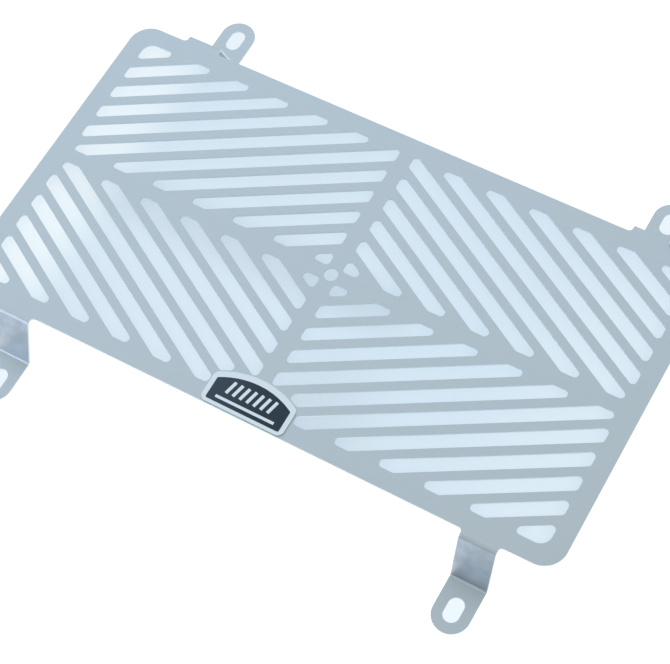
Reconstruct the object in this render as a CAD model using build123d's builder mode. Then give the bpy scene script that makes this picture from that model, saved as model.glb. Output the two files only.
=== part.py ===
from build123d import *
from math import atan2, cos, floor, radians, sin, tan
import os

os.makedirs("parts", exist_ok=True)

# Motorcycle radiator guard: one laser-cut stainless sheet with four folded
# mounting tabs, and a badge stuck to the middle of its lower edge.
# Millimetres. X is the long side, Y the short side, Z the front of the guard.
# The origin is the middle of the footprint, at the underside of the four feet.

# Sheet
sheet_thickness = 1.0
plate_length = 340.0
plate_width = 180.0
plate_corner_radius = 12.0

# Slot field: each quarter of the plate holds slanted slots, mirrored about both
# centre lines, so that the slots form diamonds round the centre hole
side_margin = 9.6
edge_margin = 9.6
upright_web = 7.8
level_web = 7.8
slot_angle = 29.8
slot_width = 7.3
bar_width = 4.8
first_slot_offset = 5.3
slot_corner_radius = 2.2
outer_slot_radius = 6.2
least_corner_depth = 4.5  # what the last slot needs, square to its edge
centre_hole_diameter = 7.4

# Mounting tabs, folded back in a joggle
tab_inset = 38.4  # from the plate's end to the tab's middle
tab_width = 19.4
tab_root_radius = 2.3
root_fillet_share = 0.95  # most of the straight edge beside it that a root fillet may take
neck_length = 4.1
joggle_run = 9.5
joggle_drop = 27.9
bend_radius = 1.4  # on the inside of each fold
foot_length = 27.1
bolt_slot_width = 8.4
bolt_slot_length = 13.2

# Badge
badge_width = 46.4
badge_height = 22.4
badge_thickness = 0.8
badge_arch_radius = 44.7
badge_corner_radius = 3.4
badge_edge_gap = 0.5
badge_rim_width = 2.5
badge_field_drop = 0.7  # the field sits low, so the rim is wider over it
badge_field_depth = 0.2
badge_slot_gap = 0.9

# Plain relief on the badge: a row of slanted bars over a strip
relief_bar_count = 7
relief_bar_width = 1.7
relief_bar_pitch = 3.9
relief_bar_height = 7.4
relief_bar_slant = 14.0
relief_strip_length = 33.0
relief_strip_height = 1.5
relief_strip_rise = 2.2
relief_gap = 2.6

# Levels and places that follow from the sizes above
front_z = sheet_thickness + joggle_drop
back_z = front_z - sheet_thickness
half_length = plate_length / 2
half_width = plate_width / 2
tab_x = half_length - tab_inset
half_sheet = sheet_thickness / 2
joggle_angle = atan2(joggle_drop, joggle_run)
neck_flat = neck_length - (bend_radius + sheet_thickness) * tan(joggle_angle / 2)
fold_shift = half_sheet * tan(joggle_angle / 2)  # from the front face's corner to the middle's
edge_beside_tab = tab_inset - tab_width / 2 - plate_corner_radius
root_radius = min(tab_root_radius, root_fillet_share * min(neck_flat, edge_beside_tab))
tab_start_y = half_width + (root_radius + neck_flat) / 2  # between root fillet and fold
first_fold_y = half_width + neck_length
second_fold_y = first_fold_y + joggle_run
foot_centre_y = second_fold_y + foot_length - tab_width / 2
bolt_slot_run = bolt_slot_length - bolt_slot_width
badge_base_y = -half_width + badge_edge_gap

# Bounds of the slots' cores, which lie one corner radius inside the slots' edges
slot_pitch = slot_width + bar_width
slot_slope = radians(slot_angle)
core_width = slot_width - 2 * slot_corner_radius
core_low_x = upright_web / 2 + slot_corner_radius
core_low_y = level_web / 2 + slot_corner_radius
core_high_x = half_length - side_margin - slot_corner_radius
core_high_y = half_width - edge_margin - slot_corner_radius
first_core_edge = first_slot_offset + slot_corner_radius
corner_distance = core_high_x * sin(slot_slope) + core_high_y * cos(slot_slope)
last_row = floor((corner_distance - least_corner_depth - first_core_edge) / slot_pitch)


def badge_outline() -> Sketch:
    """Flat base and straight sides under an arched top, with rounded corners."""
    crown_y = badge_base_y + badge_height
    with BuildSketch() as outline:
        with Locations((0, badge_base_y)):
            Rectangle(badge_width, 2 * badge_height, align=(Align.CENTER, Align.MIN))
        with Locations((0, crown_y - badge_arch_radius)):
            Circle(badge_arch_radius, mode=Mode.INTERSECT)
        fillet(outline.vertices(), radius=badge_corner_radius)
    return outline.sketch


def slot_outline(row: int, keep_out: Sketch | None) -> Sketch:
    """One slot of the upper right quarter, or the opening left in its corner.

    The slot's core is a slanted strip, bounded by the webs, the border and the
    badge. It is then grown by the corner radius.
    """
    last = row == last_row
    near_edge = first_core_edge + row * slot_pitch
    strip_width = corner_distance - near_edge if last else core_width
    middle = near_edge + strip_width / 2
    with BuildSketch() as slot:
        with Locations((core_low_x, core_low_y)):
            Rectangle(
                core_high_x - core_low_x,
                core_high_y - core_low_y,
                align=(Align.MIN, Align.MIN),
            )
        with Locations((middle * sin(slot_slope), middle * cos(slot_slope))):
            Rectangle(
                2 * plate_length,
                strip_width,
                rotation=-slot_angle,
                mode=Mode.INTERSECT,
            )
        if keep_out is not None:
            add(keep_out, mode=Mode.SUBTRACT)
        if last:
            corner = slot.vertices().sort_by_distance((core_high_x, core_high_y))[0]
            fillet(corner, radius=outer_slot_radius - slot_corner_radius)
        offset(amount=slot_corner_radius, kind=Kind.ARC)
    return slot.sketch


# The badge keeps the slots away from its edge, so that it lies on whole metal
with BuildSketch() as badge_clearance:
    add(mirror(badge_outline(), about=Plane.XZ))
    offset(amount=badge_slot_gap + slot_corner_radius, kind=Kind.ARC)

with BuildSketch() as upper_slots:
    for row in range(last_row + 1):
        add(slot_outline(row, None))
    mirror(about=Plane.YZ)

with BuildSketch() as lower_slots:
    for row in range(last_row + 1):
        add(mirror(slot_outline(row, badge_clearance.sketch), about=Plane.XZ))
    mirror(about=Plane.YZ)

# One mounting tab at the upper right, drawn along the middle of the sheet's thickness
with BuildPart() as tab:
    with BuildSketch(Plane.YZ.offset(tab_x)):
        with BuildLine():
            FilletPolyline(
                (tab_start_y, back_z + half_sheet),
                (first_fold_y - fold_shift, back_z + half_sheet),
                (second_fold_y - fold_shift, half_sheet),
                (foot_centre_y, half_sheet),
                radius=bend_radius + half_sheet,
            )
        trace(line_width=sheet_thickness)
    extrude(amount=tab_width / 2, both=True)
    with BuildSketch():
        with Locations((tab_x, foot_centre_y)):
            Circle(tab_width / 2)
    extrude(amount=sheet_thickness)
    with BuildSketch():
        with Locations((tab_x, foot_centre_y - bolt_slot_run / 2)):
            SlotOverall(bolt_slot_length, bolt_slot_width, rotation=90)
    extrude(amount=sheet_thickness, mode=Mode.SUBTRACT)

# The flat plate with its necks, its slots and the four tabs, as one sheet
with BuildPart() as guard_sheet:
    with BuildSketch(Plane.XY.offset(back_z)) as plate:
        RectangleRounded(plate_length, plate_width, plate_corner_radius)
        with GridLocations(2 * tab_x, 0, 2, 1):
            Rectangle(tab_width, 2 * tab_start_y)
        roots = [
            plate.vertices().sort_by_distance((x + side * tab_width / 2, y))[0]
            for x in (-tab_x, tab_x)
            for y in (-half_width, half_width)
            for side in (-1, 1)
        ]
        fillet(roots, radius=root_radius)
    extrude(amount=sheet_thickness)
    with BuildSketch(Plane.XY.offset(back_z)):
        add(upper_slots.sketch)
        add(lower_slots.sketch)
        Circle(centre_hole_diameter / 2)
    extrude(amount=sheet_thickness, mode=Mode.SUBTRACT)
    add(tab.part)
    add(tab.part.mirror(Plane.YZ))
    add(tab.part.mirror(Plane.XZ))
    add(tab.part.mirror(Plane.YZ).mirror(Plane.XZ))

guard_sheet.part.label = "guard_sheet"
export_step(guard_sheet.part, "parts/guard_sheet.step")

# The badge: a raised rim and a plain relief over a recessed field
with BuildPart() as badge:
    with BuildSketch(Plane.XY.offset(front_z)):
        add(badge_outline())
    extrude(amount=badge_thickness)
    with BuildSketch(Plane.XY.offset(front_z + badge_thickness)):
        with Locations((0, -badge_field_drop)):
            add(badge_outline())
        offset(amount=-badge_rim_width)
        strip_y = badge_base_y - badge_field_drop + badge_rim_width + relief_strip_rise
        with Locations((0, strip_y)):
            Rectangle(
                relief_strip_length,
                relief_strip_height,
                align=(Align.CENTER, Align.MIN),
                mode=Mode.SUBTRACT,
            )
        bar_y = strip_y + relief_strip_height + relief_gap + relief_bar_height / 2
        with Locations((0, bar_y)):
            with GridLocations(relief_bar_pitch, 0, relief_bar_count, 1):
                Rectangle(
                    relief_bar_width,
                    relief_bar_height,
                    rotation=-relief_bar_slant,
                    mode=Mode.SUBTRACT,
                )
    extrude(amount=-badge_field_depth, mode=Mode.SUBTRACT)

badge.part.label = "badge"
export_step(badge.part, "parts/badge.step")
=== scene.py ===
import math

import bpy
from mathutils import Matrix, Vector


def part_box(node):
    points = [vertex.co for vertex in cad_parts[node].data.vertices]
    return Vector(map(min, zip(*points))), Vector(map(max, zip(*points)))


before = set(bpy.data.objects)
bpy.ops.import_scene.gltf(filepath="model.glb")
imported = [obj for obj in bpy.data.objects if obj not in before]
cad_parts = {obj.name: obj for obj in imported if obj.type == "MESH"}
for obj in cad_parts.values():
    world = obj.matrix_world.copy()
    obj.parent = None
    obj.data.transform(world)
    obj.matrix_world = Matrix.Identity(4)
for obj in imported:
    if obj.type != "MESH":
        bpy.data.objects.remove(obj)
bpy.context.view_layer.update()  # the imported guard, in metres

scene = bpy.context.scene
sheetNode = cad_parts["guard_sheet"]
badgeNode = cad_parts["badge"]
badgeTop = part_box("badge")[1].z
noiseMiddle = 0.5  # about what a noise texture gives on average


class Signal:
    # one socket of a node tree, so that shader maths reads as arithmetic
    def __init__(self, shader, socket):
        self.shader = shader
        self.socket = socket

    def maths(self, operation, *values):
        return self.shader.add("Math", {"operation": operation}, dict(enumerate(values)))

    def __add__(self, other):
        return self.maths("ADD", self, other)

    def __sub__(self, other):
        return self.maths("SUBTRACT", self, other)

    def __rsub__(self, other):
        return self.maths("SUBTRACT", other, self)

    def __mul__(self, other):
        return self.maths("MULTIPLY", self, other)

    def __abs__(self):
        return self.maths("ABSOLUTE", self)

    def orMore(self, other):
        return self.maths("MAXIMUM", self, other)

    __radd__ = __add__
    __rmul__ = __mul__


class Shader:
    # the node tree of one material or of the world
    def __init__(self, owner):
        owner.use_nodes = True
        self.tree = owner.node_tree
        self.tree.nodes.clear()

    def add(self, kind, settings=None, inputs=None, out=0):
        node = self.tree.nodes.new("ShaderNode" + kind)
        for name, value in (settings or {}).items():
            setattr(node, name, value)
        for name, value in (inputs or {}).items():
            if isinstance(value, Signal):
                self.tree.links.new(value.socket, node.inputs[name])
            else:
                node.inputs[name].default_value = value
        return Signal(self, node.outputs[out]) if len(node.outputs) else None

    def step(self, value, start, end):
        # 0 at the start, 1 at the end, smooth between them; the end may be the lower one
        settings = {"interpolation_type": "SMOOTHSTEP"}
        return self.add("MapRange", settings, {"Value": value, "From Min": start, "From Max": end})

    def within(self, distance, reach, fade):
        # 1 up to the reach, 0 from the fade beyond it
        return 1.0 - self.step(distance, reach, reach + fade)

    def blend(self, factor, first, second):
        # a colour between two colours
        return self.add("Mix", {"data_type": "RGBA"}, {0: factor, 6: first, 7: second}, 2)

    def darken(self, factor, tone, share):
        # a colour of which each part keeps its share
        settings = {"data_type": "RGBA", "blend_type": "MULTIPLY"}
        return self.add("Mix", settings, {0: factor, 6: tone, 7: share}, 2)

    def stretched(self, place, scale):
        # the place with each axis multiplied, for grain that runs one way
        return self.add("VectorMath", {"operation": "MULTIPLY"}, {0: place, 1: scale})

    def noise(self, place, pattern):
        return self.add("TexNoise", {}, {"Vector": place, **pattern})

    def axis(self, vector, name):
        return self.add("SeparateXYZ", {}, {"Vector": vector}, name)

    def rays(self):
        # which ray arrives: the camera's, a reflection's, or one through clear glass
        kinds = ("Camera", "Glossy", "Transmission")
        return [self.add("LightPath", {}, {}, f"Is {kind} Ray") for kind in kinds]


def colour(red, green, blue):
    return (red, green, blue, 1.0)


def giveMaterial(piece, material):
    piece.data.materials.clear()
    piece.data.materials.append(material)


# Camera: place, aim and up give the photograph's angle, and the lens its framing
camera = {
    "place": Vector((0.2933, -0.3806, 0.8596)),
    "aim": Vector((0.0179, -0.0274, 0.0289)),
    "up": Vector((-0.4048, 0.7855, 0.4682)),
    "lens": 103.0,
    "sensor": 36.0,
}


def makeCamera(camera):
    data = bpy.data.cameras.new("camera")
    data.lens = camera["lens"]
    data.sensor_width = camera["sensor"]
    data.sensor_fit = "HORIZONTAL"
    back = (camera["place"] - camera["aim"]).normalized()
    side = camera["up"].cross(back).normalized()
    turn = Matrix((side, back.cross(side), back)).transposed()
    viewer = bpy.data.objects.new("camera", data)
    viewer.matrix_world = Matrix.Translation(camera["place"]) @ turn.to_4x4()
    scene.collection.objects.link(viewer)
    scene.camera = viewer


makeCamera(camera)
print("camera made")

# Satin stainless sheet
steel = {
    "colour": colour(0.461, 0.574, 0.643),
    "paleColour": colour(0.491, 0.604, 0.673),
    # painted reflection: the folds' tones are darker and bluer than the flat sheet
    "slopeReflectionBlue": colour(0.455, 0.54, 0.655),
    "slopeReflectionGrey": colour(0.395, 0.47, 0.54),
    # painted highlight: the folds turn paler towards the feet
    "slopeFootLight": colour(0.57, 0.62, 0.69),
    "cutColour": colour(0.70, 0.78, 0.83),
    # paler along the edges: edge wear and a painted edge highlight
    "edgeWearHighlightColour": colour(0.62, 0.69, 0.74),
    "mottle": {"Scale": 38.0, "Detail": 3.0, "Roughness": 0.55},
    "blotch": {"Scale": 150.0, "Detail": 3.0, "Roughness": 0.6},
    "grain": {"Scale": 900.0, "Detail": 2.0},
    "grainStretch": (0.04, 1.0, 1.0),  # brushed along the long side
    "cutMarks": {"Scale": 5200.0, "Detail": 1.0},
    "cutStretch": (1.0, 1.0, 0.05),  # lines straight through the sheet
    "wallRange": (0.08, 0.2),  # how level a face is, from the cut walls to the rest
    "slopeRange": (0.95, 0.45),  # and from the flat sheet to the steep folds
    "footRange": (0.015, 0.003),  # height over the feet's underside
    "blotchRange": (0.35, 0.65),
    "edgeRadius": 0.00012,
    "edgeSamples": 6,
    "edgeRange": (0.85, 0.99),  # how well the rounded and the true face agree
    "roughness": 0.44,
    "grainRoughness": 0.10,
    "mottleRoughness": 0.06,
    "wallRoughness": 0.06,
    "edgeSmoothness": 0.08,
    "bump": {"Distance": 0.00003, "Strength": 0.35},
}


def makeSteel(steel):
    material = bpy.data.materials.new("satinSteel")
    shader = Shader(material)
    place = shader.add("TexCoord", {}, {}, "Object")
    facing = shader.add("NewGeometry", {}, {}, "True Normal")
    level = abs(shader.axis(facing, "Z"))
    wall = 1.0 - shader.step(level, *steel["wallRange"])
    slope = shader.step(level, *steel["slopeRange"]) * (1.0 - wall)

    mottle = shader.noise(place, steel["mottle"])
    grain = shader.noise(shader.stretched(place, steel["grainStretch"]), steel["grain"])
    cutMarks = shader.noise(shader.stretched(place, steel["cutStretch"]), steel["cutMarks"])

    # the bevel rounds each edge for the light, and shows where the edges are; there the sheet is
    # painted paler, as edge wear and a painted highlight
    bevel = {"Radius": steel["edgeRadius"]}
    rounded = shader.add("Bevel", {"samples": steel["edgeSamples"]}, bevel)
    alike = shader.add("VectorMath", {"operation": "DOT_PRODUCT"}, {0: rounded, 1: facing}, 1)
    edge = 1.0 - shader.step(alike, *steel["edgeRange"])

    # the folds are blotched at random between two tones, painted darker and bluer than the flat
    # sheet as a reflection of the shaded floor, and painted paler towards the feet as a highlight
    nearFoot = shader.step(shader.axis(place, "Z"), *steel["footRange"])
    blotch = shader.step(shader.noise(place, steel["blotch"]), *steel["blotchRange"])
    paintedFoldTone = shader.blend(blotch, steel["slopeReflectionGrey"], steel["slopeReflectionBlue"])
    paintedFoldTone = shader.blend(nearFoot, paintedFoldTone, steel["slopeFootLight"])

    tone = shader.blend(mottle, steel["colour"], steel["paleColour"])
    tone = shader.blend(slope, tone, paintedFoldTone)
    tone = shader.blend(wall, tone, steel["cutColour"])
    tone = shader.blend(edge, tone, steel["edgeWearHighlightColour"])

    roughness = steel["roughness"] + (grain - noiseMiddle) * steel["grainRoughness"]
    roughness = roughness + (mottle - noiseMiddle) * steel["mottleRoughness"]
    roughness = roughness + wall * steel["wallRoughness"] - edge * steel["edgeSmoothness"]

    height = grain * (1.0 - wall) + cutMarks * wall
    bumped = shader.add("Bump", {}, {"Height": height, "Normal": rounded, **steel["bump"]})
    surface = shader.add("BsdfPrincipled", {}, {
        "Base Color": tone,
        "Metallic": 1.0,
        "Roughness": roughness,
        "Normal": bumped,
    })
    shader.add("OutputMaterial", {}, {"Surface": surface})
    return material


giveMaterial(sheetNode, makeSteel(steel))
print("steel made")

# Badge: pale metal rim and relief over a dark field
badge = {
    "rimColour": colour(0.625, 0.745, 0.815),
    # painted sheen: the dark field is lighter on the left and darker on the right
    "fieldSheenLeft": colour(0.026, 0.046, 0.072),
    "fieldShadeRight": colour(0.012, 0.028, 0.046),
    "fieldTurn": (-0.022, 0.010),
    "fieldDepth": 0.0002,
    "riseRange": (0.2, 0.6),  # shares of that depth, from the field's tone to the rim's
    "sideRange": (0.7, 0.95),  # how level a face is, from the badge's side to its top
    "speck": {"Scale": 2600.0, "Detail": 2.0},
    "rimMetallic": 0.85,
    "roughness": 0.42,
    "rimSmoothness": 0.10,
    "speckRoughness": 0.08,
    "specular": 0.3,
}


def makeBadge(badge):
    material = bpy.data.materials.new("badgeEnamel")
    shader = Shader(material)
    place = shader.add("TexCoord", {}, {}, "Object")
    facing = shader.add("NewGeometry", {}, {}, "True Normal")

    # the rim, the relief and the sides are metal, and the low field is dark
    fieldLevel = badgeTop - badge["fieldDepth"]
    rise = [fieldLevel + badge["fieldDepth"] * share for share in badge["riseRange"]]
    raised = shader.step(shader.axis(place, "Z"), *rise)
    side = 1.0 - shader.step(shader.axis(facing, "Z"), *badge["sideRange"])
    metal = raised.orMore(side)
    # the field's painted sheen turns from lighter on the left to darker on the right
    turn = shader.step(shader.axis(place, "X"), *badge["fieldTurn"])
    field = shader.blend(turn, badge["fieldSheenLeft"], badge["fieldShadeRight"])

    speck = shader.noise(place, badge["speck"])
    roughness = badge["roughness"] - metal * badge["rimSmoothness"]
    roughness = roughness + (speck - noiseMiddle) * badge["speckRoughness"]
    surface = shader.add("BsdfPrincipled", {}, {
        "Base Color": shader.blend(metal, field, badge["rimColour"]),
        "Metallic": metal * badge["rimMetallic"],
        "Roughness": roughness,
        "Specular IOR Level": badge["specular"],
    })
    shader.add("OutputMaterial", {}, {"Surface": surface})
    return material


giveMaterial(badgeNode, makeBadge(badge))
print("badge made")

# Ground: a pale floor, with the soft shade of the guard painted into its material
ground = {
    "size": 6.0,
    "colour": (0.35, 0.27, 0.175),
    "glow": (0.80, 0.88, 0.95),
    "bounceColour": (0.80, 0.82, 0.84),
    "shade": (0.58, 0.70, 0.806),  # what the floor keeps of its light in full shade
    "plateMiddle": (-0.0102, 0.0132),  # under the plate, and pushed away from the lamp
    "plateReach": (0.1691, 0.0863),
    "plateFade": 0.005,
    "leftShade": 0.81,
    "rightShade": 0.86,
    "shadeTurn": (-0.03, 0.06),
    "ends": (((-0.118, -0.147), 0.60), ((0.088, 0.145), 0.90)),  # where, and the share left
    "greyShade": colour(0.875, 0.875, 0.88),
    "webMiddle": -0.0072,
    "webReach": 0.002,
    "webFade": 0.022,
    "webEnd": (0.025, 0.062),
    "badgeMiddle": (0.0198, -0.0648, 0.0),
    "badgeReach": 0.055,
    "boltShade": 0.63,
    "boltMiddle": (0.1316, 0.1186),
    "boltReach": (0.0055, 0.0080),
    "boltFade": 0.0025,
}


def groundShades(shader, ground):
    # how much of the shade, and how much of the grey shade, lies on each place
    place = shader.add("TexCoord", {}, {}, "Object")
    floorX, floorY = (shader.axis(place, name) for name in ("X", "Y"))
    along, across = floorX - ground["plateMiddle"][0], floorY - ground["plateMiddle"][1]

    # the plate's shade is fainter towards both ends, and stops under the border
    turn = shader.step(along, *ground["shadeTurn"])
    plateShade = ground["leftShade"] + turn * (ground["rightShade"] - ground["leftShade"])
    for run, share in ground["ends"]:
        plateShade = plateShade * (1.0 - shader.step(along, *run) * (1.0 - share))
    for distance, reach in zip((along, across), ground["plateReach"]):
        plateShade = plateShade * shader.within(abs(distance), reach, ground["plateFade"])

    # it is deeper and greyer under the level web, and beside the badge
    web = shader.within(abs(across - ground["webMiddle"]), ground["webReach"], ground["webFade"])
    web = web * (1.0 - shader.step(along, *ground["webEnd"]))
    away = {0: place, 1: ground["badgeMiddle"]}
    badgeAway = shader.add("VectorMath", {"operation": "DISTANCE"}, away, 1)
    nearBadge = shader.step(badgeAway, ground["badgeReach"], 0.0)
    greyShade = web.orMore(nearBadge) * plateShade

    # a fainter painted shade lies under each bolt slot
    boltShade = ground["boltShade"]
    for distance, middle, reach in zip((floorX, floorY), ground["boltMiddle"], ground["boltReach"]):
        boltShade = boltShade * shader.within(abs(abs(distance) - middle), reach, ground["boltFade"])
    return plateShade.orMore(boltShade), greyShade


def makeFloor(ground):
    far = ground["size"] / 2
    mesh = bpy.data.meshes.new("floor")
    corners = [(-far, -far, 0), (far, -far, 0), (far, far, 0), (-far, far, 0)]
    mesh.from_pydata(corners, [], [(0, 1, 2, 3)])
    floor = bpy.data.objects.new("floor", mesh)
    scene.collection.objects.link(floor)

    material = bpy.data.materials.new("paleFloor")
    shader = Shader(material)
    shade, greyShade = groundShades(shader, ground)

    def shaded(tint):
        dark = [part * share for part, share in zip(tint, ground["shade"])]
        tone = shader.blend(shade, colour(*tint), colour(*dark))
        return shader.darken(greyShade, tone, ground["greyShade"])

    lit = shader.add("BsdfDiffuse", {}, {"Color": shaded(ground["colour"])})
    glow = shader.add("Emission", {}, {"Color": shaded(ground["glow"])})
    shown = shader.add("AddShader", {}, {0: lit, 1: glow})

    # the light that it throws back on the guard is that of a plain pale surface
    plain = shader.add("BsdfDiffuse", {}, {"Color": colour(*ground["bounceColour"])})
    cameraRay, glossyRay, clearRay = shader.rays()
    seen = cameraRay.orMore(glossyRay).orMore(clearRay)
    surface = shader.add("MixShader", {}, {0: seen, 1: plain, 2: shown})

    # from below the floor is clear, so that the guard's underside can be seen
    below = shader.add("NewGeometry", {}, {}, "Backfacing")
    clear = shader.add("BsdfTransparent")
    surface = shader.add("MixShader", {}, {0: below, 1: surface, 2: clear})
    shader.add("OutputMaterial", {}, {"Surface": surface})
    giveMaterial(floor, material)


makeFloor(ground)
print("floor made")

# Sky: what the steel mirrors, with a dim and a bright part in front of the guard
sky = {
    "left": colour(1.087, 1.091, 1.145),
    "right": colour(0.71, 0.645, 0.565),
    "front": colour(0.97, 0.96, 0.95),
    "bright": colour(0.98, 1.03, 1.18),
    "rightRange": (-0.60, -0.30),
    "frontRange": (-0.20, -0.60),
    "lowRange": (0.55, 0.15),
    "lowShare": 0.38,
    "steepRange": (0.55, 0.95),  # the dim and the bright part end at this height
    "dimRange": (-0.36, -0.20),
    "clearRange": (0.18, 0.45),  # and the dim part ends here to the right
    "brightRange": (-0.38, -0.56),
    "brightShare": 2.1,
    "fill": 0.40,
}


def makeSky(sky):
    world = bpy.data.worlds.new("sky")
    scene.world = world
    shader = Shader(world)
    direction = shader.add("TexCoord", {}, {}, "Generated")
    sideways, inward, upward = (shader.axis(direction, name) for name in ("X", "Y", "Z"))
    right = shader.step(sideways - inward, *sky["rightRange"])
    front = shader.step(inward, *sky["frontRange"])
    low = shader.step(upward, *sky["lowRange"]) * (1.0 - front)
    tone = shader.blend(right, sky["left"], sky["right"])
    tone = shader.blend(front, tone, sky["front"])

    ahead = front * (1.0 - shader.step(abs(upward), *sky["steepRange"]))
    dim = ahead * shader.step(sideways, *sky["dimRange"])
    dim = dim * (1.0 - shader.step(sideways, *sky["clearRange"]))
    bright = ahead * shader.step(sideways, *sky["brightRange"])
    tone = shader.blend(bright, tone, sky["bright"])
    strength = 1.0 - dim + bright * sky["brightShare"] - low * sky["lowShare"]

    # reflections show these tones, an even white lights the rest, and the sky looks white
    mirrored = shader.add("Background", {}, {"Color": tone, "Strength": strength})
    fill = shader.add("Background", {}, {"Color": colour(1, 1, 1), "Strength": sky["fill"]})
    white = shader.add("Background", {}, {"Color": colour(1, 1, 1)})
    cameraRay, glossyRay, clearRay = shader.rays()
    lighting = shader.add("MixShader", {}, {0: glossyRay, 1: fill, 2: mirrored})
    seen = cameraRay.orMore(clearRay)
    surface = shader.add("MixShader", {}, {0: seen, 1: lighting, 2: white})
    shader.add("OutputWorld", {}, {"Surface": surface})


makeSky(sky)
print("sky made")

# Lamp: one round lamp on the line from the guard to the photograph's camera, so that
# the shadow it casts lies behind the guard in that view
lamp = {
    "place": Vector((0.3973, -0.5140, 1.1733)),
    "aim": Vector((0.0179, -0.0274, 0.0289)),
    "size": 0.5,
    "brightness": 0.60,  # what it gives a white floor at its aim
}


def makeLamp(lamp):
    away = lamp["place"] - lamp["aim"]
    data = bpy.data.lights.new("lamp", "AREA")
    data.shape = "DISK"
    data.size = lamp["size"]
    data.energy = lamp["brightness"] * (math.pi * away.length) ** 2 * away.length / away.z
    source = bpy.data.objects.new("lamp", data)
    source.location = lamp["place"]
    source.rotation_mode = "QUATERNION"
    source.rotation_quaternion = (-away).to_track_quat("-Z", "Y")
    source.visible_glossy = False
    scene.collection.objects.link(source)


makeLamp(lamp)
scene.view_settings.view_transform = "Standard"
print("lamp made")
